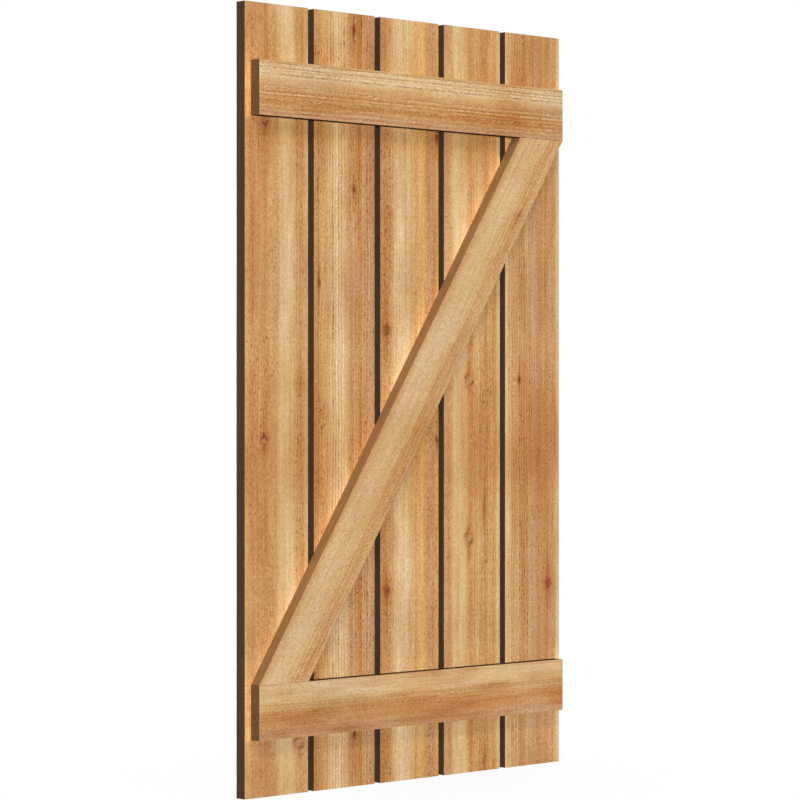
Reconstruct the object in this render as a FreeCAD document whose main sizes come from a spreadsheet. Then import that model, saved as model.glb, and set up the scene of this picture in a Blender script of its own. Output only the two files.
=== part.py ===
"""Board and batten shutter: spaced upright boards held by two battens and a diagonal brace.

X runs across the shutter, Y from its front towards the wall, Z up.
The origin is the middle of the back face, the face that lies on the wall.
Lengths are in millimetres.
"""

import FreeCAD, Part
import math
import os

import Sketcher

OUTPUT_FOLDER = "parts"
SHEET = "Sizes"

# Driving dimensions: alias, value, meaning
DRIVING_SIZES = (
    ("shutter_height", "1270.0", "length of the upright boards"),
    ("board_count", "5", "upright boards side by side"),
    ("board_width", "136.5", "sawn width of a board"),
    ("board_thickness", "20.6", "sawn thickness of a board"),
    ("board_gap", "12.7", "open space between two boards"),
    ("batten_width", "88.9", "height of a batten on the face of the shutter"),
    ("batten_thickness", "20.6", "how far a batten stands off the boards"),
    ("batten_inset", "12.7", "from the outer board's edge to the batten's end"),
    ("batten_margin", "93.0", "from the boards' ends to the batten's outer edge"),
    ("brace_width", "88.9", "width of the brace, square across its grain"),
    ("brace_thickness", "20.6", "how far the brace stands off the boards"),
    ("arris", "0.8", "flat that breaks the sharp edges along the grain"),
)

# Lengths that follow from the driving dimensions, as expressions on the sheet
BOARD_PITCH = "(Sizes.board_width + Sizes.board_gap)"
PANEL_WIDTH = "(Sizes.board_count * Sizes.board_width + (Sizes.board_count - 1) * Sizes.board_gap)"
BATTEN_LENGTH = f"({PANEL_WIDTH} - 2 * Sizes.batten_inset)"
BATTEN_RISE = "(Sizes.shutter_height / 2 - Sizes.batten_margin - Sizes.batten_width / 2)"
BRACE_RISE = "(Sizes.shutter_height / 2 - Sizes.batten_margin - Sizes.batten_width)"


def make_sheet(doc):
    """The sheet of driving dimensions, one row each: name, value, meaning."""
    sheet = doc.addObject("Spreadsheet::Sheet", SHEET)
    for row, (alias, value, meaning) in enumerate(DRIVING_SIZES, start=1):
        sheet.set(f"A{row}", alias)
        sheet.set(f"B{row}", value)
        sheet.setAlias(f"B{row}", alias)
        sheet.set(f"C{row}", meaning)
    doc.recompute()
    return sheet


def evaluate(doc, expression):
    """The value in millimetres of an expression on the sheet."""
    return float(doc.getObject(SHEET).evalExpression(expression))


def origin_plane(body, role):
    """The body's own origin plane with that role."""
    return next(plane for plane in body.Origin.OriginFeatures if plane.Role == role)


def new_sketch(body, name, plane):
    """An empty sketch on one of the body's origin planes."""
    sketch = body.newObject("Sketcher::SketchObject", name)
    sketch.AttachmentSupport = [(origin_plane(body, plane), "")]
    sketch.MapMode = "FlatFace"
    return sketch


def draw_closed_outline(sketch, corners):
    """Straight lines from corner to corner, closed, each joined to the next."""
    points = [FreeCAD.Vector(across, up, 0) for across, up in corners]
    for start, end in zip(points, points[1:] + points[:1]):
        sketch.addGeometry(Part.LineSegment(start, end))
    for line in range(len(points)):
        following = (line + 1) % len(points)
        sketch.addConstraint(Sketcher.Constraint("Coincident", line, 2, following, 1))


def bind_constraint(sketch, constraint, name, expression):
    """Adds a dimension to a sketch, names it and ties it to the sheet."""
    index = sketch.addConstraint(constraint)
    sketch.renameConstraint(index, name)
    sketch.setExpression(f"Constraints.{name}", expression)


def draw_sawn_section(doc, body, plane, width, height):
    """Cross-section of a sawn stick: a rectangle centred on the body's origin."""
    half_width = evaluate(doc, width) / 2
    half_height = evaluate(doc, height) / 2
    sketch = new_sketch(body, "SawnSection", plane)
    draw_closed_outline(
        sketch,
        [
            (-half_width, -half_height),
            (half_width, -half_height),
            (half_width, half_height),
            (-half_width, half_height),
        ],
    )
    bottom, right, top, left = range(4)
    for line in (bottom, top):
        sketch.addConstraint(Sketcher.Constraint("Horizontal", line))
    for line in (right, left):
        sketch.addConstraint(Sketcher.Constraint("Vertical", line))
    sketch.addConstraint(Sketcher.Constraint("Symmetric", bottom, 1, top, 1, -1, 1))
    bind_constraint(
        sketch,
        Sketcher.Constraint("DistanceX", bottom, 1, bottom, 2, 2 * half_width),
        "width",
        width,
    )
    bind_constraint(
        sketch,
        Sketcher.Constraint("DistanceY", right, 1, right, 2, 2 * half_height),
        "height",
        height,
    )
    return sketch


def draw_brace_outline(doc, body):
    """Front outline of the brace: a parallelogram with level ends that butt against the battens.

    Its foot starts at the lower batten's left end and its head ends at the upper batten's right end.
    The width square across the grain then fixes the slope, which the sketch solves.
    """
    half_span = evaluate(doc, BATTEN_LENGTH) / 2
    rise = evaluate(doc, BRACE_RISE)
    width = evaluate(doc, "Sizes.brace_width")
    sketch = new_sketch(body, "BraceOutline", "XZ_Plane")
    draw_closed_outline(
        sketch,
        [
            (-half_span, -rise),
            (-half_span + width, -rise),
            (half_span, rise),
            (half_span - width, rise),
        ],
    )
    foot, lower_side, head, upper_side = range(4)
    for line in (foot, head):
        sketch.addConstraint(Sketcher.Constraint("Horizontal", line))
    sketch.addConstraint(Sketcher.Constraint("Parallel", lower_side, upper_side))
    sketch.addConstraint(Sketcher.Constraint("Symmetric", foot, 1, head, 1, -1, 1))
    bind_constraint(
        sketch,
        Sketcher.Constraint("DistanceX", -1, 1, head, 1, half_span),
        "half_span",
        f"{BATTEN_LENGTH} / 2",
    )
    bind_constraint(
        sketch,
        Sketcher.Constraint("DistanceY", -1, 1, head, 1, rise),
        "rise",
        BRACE_RISE,
    )
    bind_constraint(
        sketch,
        Sketcher.Constraint("Distance", foot, 1, lower_side, width),
        "square_width",
        "Sizes.brace_width",
    )
    return sketch


def pad_outline(body, sketch, length, both_ways):
    """Carries an outline along its normal, to one side or evenly to both sides."""
    pad = body.newObject("PartDesign::Pad", "Pad")
    pad.Profile = sketch
    pad.SideType = "Symmetric" if both_ways else "One side"
    pad.setExpression("Length", length)
    return pad


def ease_long_edges(doc, body, pad):
    """Breaks the sharp edges that run with the grain, which are the stick's longest."""
    doc.recompute()
    edges = pad.Shape.Edges
    longest = max(edge.Length for edge in edges)
    long_edges = [
        f"Edge{number}"
        for number, edge in enumerate(edges, start=1)
        if math.isclose(edge.Length, longest, rel_tol=1e-6)
    ]
    chamfer = body.newObject("PartDesign::Chamfer", "EasedEdges")
    chamfer.Base = (pad, long_edges)
    chamfer.setExpression("Size", "Sizes.arris")
    body.Tip = chamfer


def place(body, **coordinates):
    """Ties the body's place to the sheet, one expression for each coordinate that isn't zero."""
    for axis, expression in coordinates.items():
        body.setExpression(f"Placement.Base.{axis}", expression)


def new_body(doc, label):
    body = doc.addObject("PartDesign::Body", label)
    body.Label = label
    return body


def make_board(doc, index):
    """One upright board, the first on the left."""
    body = new_body(doc, f"board_{index + 1}")
    section = draw_sawn_section(doc, body, "XY_Plane", "Sizes.board_width", "Sizes.board_thickness")
    pad = pad_outline(body, section, "Sizes.shutter_height", both_ways=True)
    ease_long_edges(doc, body, pad)
    place(
        body,
        x=f"({index} - (Sizes.board_count - 1) / 2) * {BOARD_PITCH}",
        y="-Sizes.board_thickness / 2",
    )
    return body


def make_batten(doc, label, side):
    """A level batten across the boards, above the middle where side is 1 and below where it is -1."""
    body = new_body(doc, label)
    section = draw_sawn_section(doc, body, "YZ_Plane", "Sizes.batten_thickness", "Sizes.batten_width")
    pad = pad_outline(body, section, BATTEN_LENGTH, both_ways=True)
    ease_long_edges(doc, body, pad)
    place(
        body,
        y="-Sizes.board_thickness - Sizes.batten_thickness / 2",
        z=f"{side} * {BATTEN_RISE}",
    )
    return body


def make_brace(doc):
    """The diagonal brace, flat on the boards and butted between the battens."""
    body = new_body(doc, "diagonal_brace")
    outline = draw_brace_outline(doc, body)
    pad = pad_outline(body, outline, "Sizes.brace_thickness", both_ways=False)
    ease_long_edges(doc, body, pad)
    place(body, y="-Sizes.board_thickness")
    return body


def check(doc, bodies):
    """Stops if anything in the document failed or a piece isn't one sound solid."""
    for item in doc.Objects:
        if {"Invalid", "Error"} & set(item.State):
            raise RuntimeError(f"{item.Label} failed: {item.State}")
    for body in bodies:
        shape = body.Shape
        if shape.isNull() or not shape.isValid() or len(shape.Solids) != 1:
            raise RuntimeError(f"{body.Label} isn't one valid solid")


def main():
    doc = FreeCAD.newDocument("Shutter")
    make_sheet(doc)
    board_count = round(evaluate(doc, "Sizes.board_count"))
    bodies = [make_board(doc, index) for index in range(board_count)]
    bodies.append(make_batten(doc, "top_batten", side=1))
    bodies.append(make_batten(doc, "bottom_batten", side=-1))
    bodies.append(make_brace(doc))
    doc.recompute()
    check(doc, bodies)
    os.makedirs(OUTPUT_FOLDER, exist_ok=True)
    for body in bodies:
        body.Shape.exportStep(os.path.join(OUTPUT_FOLDER, f"{body.Label}.step"))
        box = body.Shape.BoundBox
        print(f"{body.Label}: {box.XLength:.1f} x {box.YLength:.1f} x {box.ZLength:.1f} mm")


main()
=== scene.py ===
# %% [markdown]
# # A board and batten shutter
# The real shutter is five upright rough-sawn cedar boards with open gaps, tied together on the front by
# two level battens and a diagonal brace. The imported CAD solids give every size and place. This lesson
# loads them as a fixed frame and dresses each one as a sawn stick of cedar with its own grain.

import math
from types import SimpleNamespace

import bpy
import numpy as np
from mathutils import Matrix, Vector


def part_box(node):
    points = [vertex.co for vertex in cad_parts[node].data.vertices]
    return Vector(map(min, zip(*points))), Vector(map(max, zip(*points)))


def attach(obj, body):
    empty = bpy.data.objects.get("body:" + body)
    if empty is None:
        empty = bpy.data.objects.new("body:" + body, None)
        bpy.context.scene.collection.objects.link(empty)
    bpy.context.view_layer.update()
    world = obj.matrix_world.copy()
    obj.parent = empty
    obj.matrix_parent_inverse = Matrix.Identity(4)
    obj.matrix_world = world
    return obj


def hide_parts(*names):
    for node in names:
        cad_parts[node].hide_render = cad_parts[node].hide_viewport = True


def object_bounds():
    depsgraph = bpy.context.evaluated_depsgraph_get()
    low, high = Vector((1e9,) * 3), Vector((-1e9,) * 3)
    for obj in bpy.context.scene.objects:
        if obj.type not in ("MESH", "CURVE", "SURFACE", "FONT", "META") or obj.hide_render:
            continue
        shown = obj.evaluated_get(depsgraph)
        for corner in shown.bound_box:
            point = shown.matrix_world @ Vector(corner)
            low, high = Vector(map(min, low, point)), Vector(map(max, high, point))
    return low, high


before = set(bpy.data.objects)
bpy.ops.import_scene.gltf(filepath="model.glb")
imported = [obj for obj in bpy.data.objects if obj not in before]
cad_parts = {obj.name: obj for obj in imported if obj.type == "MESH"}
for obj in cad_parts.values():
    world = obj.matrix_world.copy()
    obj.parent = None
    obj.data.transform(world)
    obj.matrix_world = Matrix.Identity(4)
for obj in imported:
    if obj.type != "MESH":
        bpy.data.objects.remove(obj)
cad_low, cad_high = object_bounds()
print("CAD box from", [round(c, 4) for c in cad_low], "to", [round(c, 4) for c in cad_high])

# %% [markdown]
# The camera comes first, because every later comparison with the photograph depends on it. It could be
# turned by hand until the picture looks right. Instead it was fitted to the corners of the boards and
# battens: it stands about five metres away, level with the middle, and looks at the shutter from its left.

# %% Camera
CAMERA_PLACE = (-3.5457, -3.6465, 0.0)
CAMERA_TURN = 44.174
LENS = 136.41
SENSOR = 36.0

camera = bpy.data.objects.new("camera", bpy.data.cameras.new("camera"))
camera.location = CAMERA_PLACE
camera.rotation_euler = (math.radians(90), 0, math.radians(-CAMERA_TURN))
camera.data.lens = LENS
camera.data.sensor_width = SENSOR
bpy.context.scene.collection.objects.link(camera)
bpy.context.scene.camera = camera
print("camera at", CAMERA_PLACE, "turned", CAMERA_TURN, "degrees, lens", LENS, "mm")

# %% [markdown]
# A stick is known by its middle, its size and the way its grain runs. Boards and battens lie along the
# axes, so their boxes say it all. The brace lies at a slope, and its ends are cut level. Its slope and
# width could be typed in, but reading them from the CAD node's corners keeps the two models together.

# %% Measure the sticks
MILLIMETRE = 0.001
BOARDS = sorted(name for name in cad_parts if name.startswith("board_"))
TOP_BATTEN = "top_batten"
BOTTOM_BATTEN = "bottom_batten"
BRACE = "diagonal_brace"
ACROSS_X = np.array([1.0, 0.0, 0.0])
INWARD = np.array([0.0, 1.0, 0.0])
UPWARD = np.array([0.0, 0.0, 1.0])


def middle_and_size(node):
    """A node's box as its middle, (low + high) / 2, and its size, high - low."""
    low, high = (np.array(corner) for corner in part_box(node))
    return (low + high) / 2, high - low


def brace_cut_and_slope():
    """The length of the brace's level foot, and its slope: the angle whose tangent is rise over run."""
    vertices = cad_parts[BRACE].data.vertices
    corners = np.empty(3 * len(vertices))
    vertices.foreach_get("co", corners)
    corners = corners.reshape(-1, 3)
    foot = corners[np.isclose(corners[:, 2], corners[:, 2].min(), atol=0.1 * MILLIMETRE)]
    cut = np.ptp(foot[:, 0])
    run = np.ptp(corners[:, 0]) - cut
    return cut, math.atan2(np.ptp(corners[:, 2]), run)


brace_middle, brace_box = middle_and_size(BRACE)
brace_cut, brace_slope = brace_cut_and_slope()
BRACE_WIDTH = brace_cut * math.sin(brace_slope)
BRACE_LENGTH = brace_box[2] / math.sin(brace_slope)
print(f"brace {BRACE_WIDTH:.4f} wide, {BRACE_LENGTH:.4f} long, slope {math.degrees(brace_slope):.2f} degrees")

# %% [markdown]
# Every stick is the same kind of surface: a section carried along the grain. A cube with a Bevel modifier
# would be too clean. Here the section is a closed ring of points on a rectangle with eased corners. Each
# point has a seat on a smaller rectangle and a direction outwards, so the surface can later be carved in
# along that direction. The back half of the ring mirrors the front half, which makes the ends easy to close.

# %% Section and stations of a stick
EASING = 0.5 * MILLIMETRE
END_EASING = 0.3 * MILLIMETRE
CORNER_TURN = np.radians([22.5, 45.0, 67.5])
END_TURN = np.radians([30.0, 60.0, 90.0])


def section_ring(width, thickness, spacing):
    """Seats and directions round a section, from the middle of its left side by way of the front.

    A point is seat + easing * direction: straight along the faces, a quarter circle at each corner.
    Depth is negative at the front. Point i and point columns - 1 - i face each other front to back.
    """
    flat_width = width / 2 - EASING
    flat_depth = thickness / 2 - EASING
    side_steps = max(3, round(flat_depth / spacing))
    face_steps = round(2 * flat_width / spacing)
    side_depth = -flat_depth * (np.arange(side_steps) + 0.5) / (side_steps - 0.5)
    face_across = np.linspace(-flat_width, flat_width, face_steps + 1)
    turn = CORNER_TURN
    seats = [
        np.column_stack([np.full(side_steps, -flat_width), side_depth]),
        np.tile([-flat_width, -flat_depth], (len(turn), 1)),
        np.column_stack([face_across, np.full(face_steps + 1, -flat_depth)]),
        np.tile([flat_width, -flat_depth], (len(turn), 1)),
        np.column_stack([np.full(side_steps, flat_width), side_depth[::-1]]),
    ]
    directions = [
        np.tile([-1.0, 0.0], (side_steps, 1)),
        np.column_stack([-np.cos(turn), -np.sin(turn)]),
        np.tile([0.0, -1.0], (face_steps + 1, 1)),
        np.column_stack([np.sin(turn), -np.cos(turn)]),
        np.tile([1.0, 0.0], (side_steps, 1)),
    ]
    front_seats = np.concatenate(seats)
    front_directions = np.concatenate(directions)
    mirror = np.array([1.0, -1.0])
    seat = np.concatenate([front_seats, front_seats[::-1] * mirror])
    direction = np.concatenate([front_directions, front_directions[::-1] * mirror])
    return seat, direction, side_steps + len(turn)


def stick_stations(length, spacing):
    """Places along a stick, and how far the section shrinks at each.

    The places are even steps along the straight part, then a quarter circle at each end.
    """
    straight = length / 2 - END_EASING
    even = np.linspace(-straight, straight, round(2 * straight / spacing) + 1)
    end_along = straight + END_EASING * np.sin(END_TURN)
    end_inset = END_EASING * (1 - np.cos(END_TURN))
    along = np.concatenate([-end_along[::-1], even, end_along])
    inset = np.concatenate([end_inset[::-1], np.zeros(len(even)), end_inset])
    return along, inset


def girth_share(seat, direction):
    """How far round the section each point is, from 0 to 1: the lengths between neighbours, added up."""
    outline = seat + EASING * direction
    steps = np.linalg.norm(np.roll(outline, -1, axis=0) - outline, axis=1)
    return (np.cumsum(steps) - steps) / steps.sum()


print("corner easing", EASING, "end easing", END_EASING)

# %% [markdown]
# Rough-sawn cedar isn't flat. The saw leaves a faint ripple, the soft wood between the rings wears lower
# than the hard rings, and the corners lose small chips. A displacement texture could give that at render
# time only. Sums of cosine waves give it to the mesh itself, and they always cut into the CAD surface, so
# no stick grows beyond its solid or pokes into its neighbour.

# %% Sawn relief
RING_RELIEF = 0.16 * MILLIMETRE
RING_PITCH = (16 * MILLIMETRE, 5 * MILLIMETRE)
RING_RUN = (0.3, 2.5)
SAW_RELIEF = 0.08 * MILLIMETRE
SAW_WAVES = (1, 5)
SAW_RUN = (18.0, 60.0)
CHIP_RELIEF = 0.30 * MILLIMETRE
CHIP_WAVES = (0, 3)
CHIP_RUN = (8.0, 70.0)


def ripple(girth, along, round_waves, along_waves, seed, count=14):
    """Sum of cosines of (whole waves round + waves along + a phase), scaled to about -1 to 1."""
    draw = np.random.default_rng(seed)
    whole = draw.integers(round_waves[0], round_waves[1] + 1, count) * draw.choice([-1, 1], count)
    running = draw.uniform(along_waves[0], along_waves[1], count)
    phase = draw.uniform(0, 2 * np.pi, count)
    angle = 2 * np.pi * (girth[..., None] * whole + along[..., None] * running) + phase
    return np.clip(np.cos(angle).sum(axis=-1) / np.sqrt(2 * count), -1, 1)


def sawn_relief(girth, along, direction, perimeter, seed):
    """Depth carved from each point: worn rings, the saw's ripple, and chips where the ring turns a corner.

    Each is its relief times a ripple from 0 to 1. The chips are squared, so that they are few and sharp.
    """
    girth, along = np.meshgrid(girth, along)
    ring_waves = tuple(int(perimeter / pitch) for pitch in RING_PITCH)
    rings = ripple(girth, along, ring_waves, RING_RUN, seed)
    saw = ripple(girth, along, SAW_WAVES, SAW_RUN, seed + 1)
    chips = ripple(girth, along, CHIP_WAVES, CHIP_RUN, seed + 2)
    corner = np.clip(4 * np.abs(direction[:, 0] * direction[:, 1]), 0, 1)
    depth = RING_RELIEF * (0.5 + 0.5 * rings) + SAW_RELIEF * (0.5 + 0.5 * saw)
    return depth + CHIP_RELIEF * corner * np.clip(chips, 0, 1) ** 2


print("relief at most", RING_RELIEF + SAW_RELIEF + CHIP_RELIEF, "m into the surface")

# %% [markdown]
# The grid of points becomes a closed mesh. Quads go round the section and from station to station. The two
# ends could be one big polygon each, but long polygons shade badly, so strips of quads join the front edge to
# the back edge, and one small polygon fills each side. The mesh also keeps facts that the finish reads later:
# where a point lies in the grain, whether it is on a narrow side or on a sawn end, how much painted bounced
# light and painted brown shade lie on it beside the brace and the battens, and whether the saw tore it.

# %% From a grid to a stick
SIDE_TURN = (0.60, 0.95)
FRONT_TURN = (0.3, 0.9)


def stick_faces(rows, columns, cap_start):
    """Quads between neighbouring stations, then strips and two side polygons that close each end."""
    index = np.arange(rows * columns).reshape(rows, columns)
    following = np.roll(index, -1, axis=1)
    wall = np.stack([index[:-1], following[:-1], following[1:], index[1:]], axis=-1).reshape(-1, 4)
    ring = np.arange(columns)
    cap_end = columns // 2 - 1 - cap_start
    near = np.arange(cap_start, cap_end)
    strips = np.stack([near, near + 1, columns - 2 - near, columns - 1 - near], axis=-1)
    left = np.concatenate([ring[columns - 1 - cap_start:], ring[:cap_start + 1]])
    right = ring[cap_end:columns - cap_end]
    head = [face + index[-1, 0] for face in (*strips, left, right)]
    foot = [face[::-1] for face in (*strips, left, right)]
    ends = [face.tolist() for face in (*head, *foot)]
    return wall.tolist() + ends, len(wall), len(ends)


def keep(mesh, name, kind, values):
    """Stores one value or vector for each point of the mesh under a name that a finish can read."""
    layer = mesh.attributes.new(name, kind, "POINT")
    field = "vector" if kind == "FLOAT_VECTOR" else "value"
    layer.data.foreach_set(field, np.asarray(values, dtype=np.float32).ravel())


def smooth_step(value, low, high):
    """0 below low, 1 above high, and t * t * (3 - 2 * t) between."""
    t = np.clip((value - low) / (high - low), 0, 1)
    return t * t * (3 - 2 * t)


def make_stick(name, middle, axes, size, spacing, seed, shear=0.0, carve=None, painted_light=None):
    """One stick: the ring carried along the stations, carved by the relief and laid along its axes.

    A point's place is middle + across * first axis + depth * second + (along + shear * across) * third.
    The carve gives torn lines and their depth, and painted_light the masks of painted bounced light and
    shade.
    """
    width, thickness, length = size
    seat, direction, cap_start = section_ring(width, thickness, spacing[0])
    along, inset = stick_stations(length, spacing[1])
    girth = girth_share(seat, direction)
    rows, columns = len(along), len(seat)
    relief = sawn_relief(girth, along, direction, 2 * (width + thickness), seed)
    across = np.broadcast_to(seat[:, 0] + EASING * direction[:, 0], (rows, columns))
    torn = np.zeros((rows, columns))
    if carve is not None:
        torn, cut = carve(across, along[:, None], direction)
        relief = relief + cut
    reach = EASING - inset[:, None] - relief
    flat = seat[None] + reach[..., None] * direction[None]
    lengthwise = np.broadcast_to(along[:, None], (rows, columns))
    grain = np.dstack([flat, lengthwise])
    lying = grain.copy()
    lying[..., 2] += shear * lying[..., 0]
    points = middle + lying @ axes
    faces, wall_count, end_count = stick_faces(rows, columns, cap_start)
    mesh = bpy.data.meshes.new(name)
    mesh.from_pydata(points.reshape(-1, 3), [], faces)
    mesh.polygons.foreach_set("use_smooth", [True] * wall_count + [False] * end_count)
    side = np.broadcast_to(smooth_step(np.abs(direction[:, 0]), *SIDE_TURN), (rows, columns))
    end = np.broadcast_to(smooth_step(inset, 0.0, 0.4 * END_EASING)[:, None], (rows, columns))
    front = np.broadcast_to(smooth_step(-direction[:, 1], *FRONT_TURN), (rows, columns))
    # painted bounced light and painted brown shade, kept on the front faces only
    painted_glow, painted_brown_shade_mask = np.zeros((2, rows, columns)) if painted_light is None else front * painted_light(points)
    keep(mesh, "grain", "FLOAT_VECTOR", grain)
    keep(mesh, "faces", "FLOAT_VECTOR", np.dstack([side, end, painted_glow]))
    keep(mesh, "torn", "FLOAT", torn)
    keep(mesh, "painted_brown_shade_mask", "FLOAT", painted_brown_shade_mask)
    mesh.validate()
    stick = bpy.data.objects.new(name, mesh)
    bpy.context.scene.collection.objects.link(stick)
    return stick


print("a stick is one closed mesh with its grain, faces, torn and sheltered attributes")

# %% [markdown]
# In the photograph the boards are brighter just left of the brace and of the battens' left ends, and just
# above the battens, where light bounces off the sawn wood. They are browner and darker under the top batten,
# in its shade, and a little browner above it, which tints the bounced light there. A path-traced bounce from
# such thin edges would be far weaker, so the boards carry both as masks that fall off with the distance from
# the edge: painted bounced light and a painted brown shade.

# %% Painted bounced light and painted shade beside the brace and the battens
GLOW_REACH = 17 * MILLIMETRE
BATTEN_GLOW_REACH = 30 * MILLIMETRE
BATTEN_GLOW_EDGE = (-4 * MILLIMETRE, 6 * MILLIMETRE)
GLOW_ABOVE = 0.8
# reach and strength of the painted brown shade under and above the top batten
BROWN_SHADE_REACH = (24 * MILLIMETRE, 70 * MILLIMETRE)
BROWN_SHADE_ABOVE = 0.4
batten_boxes = [middle_and_size(node) for node in (TOP_BATTEN, BOTTOM_BATTEN)]


def beside(gap, reach, depth):
    """exp(-gap / reach) in front of an edge, 1 just behind it and 0 from that depth behind it."""
    return np.where(gap > -depth, np.exp(-np.clip(gap, 0, None) / reach), 0)


def painted_light_on_boards(points):
    """Two masks of painted light for the boards: painted bounced light and a painted brown shade.

    Bounced light falls off left of the brace, left of the battens' ends and above the battens. The painted
    shade is a smooth step down below the top batten, and a weaker one falls off above it, where it browns the
    bounced light.
    """
    right, up = points[..., 0], points[..., 2]
    square = right * math.sin(brace_slope) - up * math.cos(brace_slope)
    between = np.abs(up - brace_middle[2]) < brace_box[2] / 2
    glow = beside(-BRACE_WIDTH / 2 - square, GLOW_REACH, BRACE_WIDTH / 2) * between
    for middle, size in batten_boxes:
        level = 1 - smooth_step(np.abs(up - middle[2]) - size[2] / 2, *BATTEN_GLOW_EDGE)
        left_gap = middle[0] - size[0] / 2 - right
        glow = np.maximum(glow, level * beside(left_gap, BATTEN_GLOW_REACH, size[0] / 2))
        above = up - middle[2] - size[2] / 2
        glow = np.maximum(glow, GLOW_ABOVE * beside(above, GLOW_REACH, size[2] / 2))
    # painted brown shade: a step down below the top batten and a weaker falloff above it
    middle, size = batten_boxes[0]
    above = up - middle[2] - size[2] / 2
    below = middle[2] - size[2] / 2 - up
    painted_brown_shade = (1 - smooth_step(below, *BROWN_SHADE_REACH)) * (below > -size[2] / 2)
    painted_brown_shade = np.maximum(painted_brown_shade, BROWN_SHADE_ABOVE * beside(above, BROWN_SHADE_REACH[1], size[2] / 2))
    return np.stack([glow, painted_brown_shade])


print("glow reaches", GLOW_REACH, "m beside the brace, damp", BROWN_SHADE_REACH[1], "m below the top batten")

# %% [markdown]
# The saw tore the battens, most of all the top batten's upper third: wavy broken lines run along it, each a
# shallow groove with a raised, pale lip of fibres on one side. The grooves are carved into the mesh and the
# lips are not, so the lips' pale colour is partly the torn fibres' own and partly a painted glint of light on
# them. The mask that carves them, 1 in a groove and below 0 on a lip, also tells the finish where the wood is
# dark or pale, and the finish breaks it up once more, finer than the mesh can.

# %% Torn lines of the battens
TORN_RELIEF = 0.25 * MILLIMETRE
TORN_WAVE = 0.9 * MILLIMETRE
TORN_WAVE_RUN = (60.0, 150.0)
STRETCH_RUN = (3.0, 26.0)
LIP_OFFSET = 1.9 * MILLIMETRE
LIP_SHARE = 1.1
STRAIGHT = (0, 0)


def torn_lines(lines, seed):
    """Grooves along a batten: bell curves around wavering lines, in stretches that fade in and out.

    Each line gives its place across in millimetres from the middle, its drift along the batten, its width,
    its strength and the side of its lip, 1 for below and -1 for above. The lip is the same bell curve moved
    aside, with the opposite sign.
    """
    def carve(across, along, direction):
        face = smooth_step(-direction[:, 1], *FRONT_TURN)
        groove = np.zeros(across.shape)
        lip = np.zeros(across.shape)
        level = np.zeros_like(along)
        for number, (place, drift, width, strength, side) in enumerate(lines):
            line_seed = seed + 7 * number
            waver = ripple(level, along, STRAIGHT, TORN_WAVE_RUN, line_seed, count=12)
            stretch = ripple(level, along, STRAIGHT, STRETCH_RUN, line_seed + 3, count=12)
            shown = strength * smooth_step(stretch, -1.0, 0.1)
            off = across - (place + drift * along) * MILLIMETRE - TORN_WAVE * waver
            beside_it = off - side * LIP_OFFSET
            groove = np.maximum(groove, shown * np.exp(-((off / (width * MILLIMETRE)) ** 2)))
            lip = np.maximum(lip, shown * np.exp(-((beside_it / (width * MILLIMETRE)) ** 2)))
        return (groove - LIP_SHARE * lip) * face, TORN_RELIEF * groove * face

    return carve


TOP_LINES = (
    (-40.5, 0.0, 0.8, 0.7, 1),
    (-37.0, 1.0, 0.7, 0.45, 1),
    (-32.5, 1.0, 1.0, 0.75, 1),
    (-28.5, 2.0, 0.7, 0.5, 1),
    (-22.5, 1.5, 0.9, 0.85, -1),
    (-21.0, 2.5, 0.8, 0.35, 1),
    (-2.0, 6.0, 0.9, 0.4, 1),
    (6.5, 1.0, 0.9, 0.6, 1),
    (17.0, 4.0, 0.9, 0.4, 1),
    (24.0, 3.0, 0.9, 0.3, 1),
)
BOTTOM_LINES = ((-41.0, 1.5, 0.9, 0.3, 1), (-8.0, 6.0, 0.9, 0.3, 1))
print(len(TOP_LINES), "torn lines on the top batten,", len(BOTTOM_LINES), "on the bottom batten")

# %% [markdown]
# Now the eight sticks. A board's grain runs up, a batten's grain runs across the shutter, and the brace's
# runs up its slope. The three axes are the way across the stick, the way into the wall and the way along
# the grain. A brace with level ends is a stick that is sheared along its grain by the slope's cotangent.

# %% Build the sticks
BOARD_SPACING = (1.8 * MILLIMETRE, 5.0 * MILLIMETRE)
TOP_SPACING = (0.95 * MILLIMETRE, 2.0 * MILLIMETRE)
BOTTOM_SPACING = (1.2 * MILLIMETRE, 2.0 * MILLIMETRE)
BRACE_SPACING = (1.2 * MILLIMETRE, 3.4 * MILLIMETRE)
BOARD_AXES = np.array([ACROSS_X, INWARD, UPWARD])
BATTEN_AXES = np.array([-UPWARD, INWARD, ACROSS_X])
BATTENS = {TOP_BATTEN: (TOP_LINES, TOP_SPACING), BOTTOM_BATTEN: (BOTTOM_LINES, BOTTOM_SPACING)}
BOARD_SEED = 100
BATTEN_SEED = 200
BRACE_SEED = 300
TORN_SEED = 500
sticks = {}
stick_sizes = {}

for number, node in enumerate(BOARDS):
    middle, size = middle_and_size(node)
    seed = BOARD_SEED + 10 * number
    stick_sizes[node] = (size[0], size[1], size[2])
    sticks[node] = make_stick(
        f"cedar_{node}", middle, BOARD_AXES, stick_sizes[node], BOARD_SPACING, seed, painted_light=painted_light_on_boards
    )

for number, (node, (lines, spacing)) in enumerate(BATTENS.items()):
    middle, size = middle_and_size(node)
    seed = BATTEN_SEED + 10 * number
    carve = torn_lines(lines, TORN_SEED + 100 * number)
    stick_sizes[node] = (size[2], size[1], size[0])
    sticks[node] = make_stick(
        f"cedar_{node}", middle, BATTEN_AXES, stick_sizes[node], spacing, seed, carve=carve
    )

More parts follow.
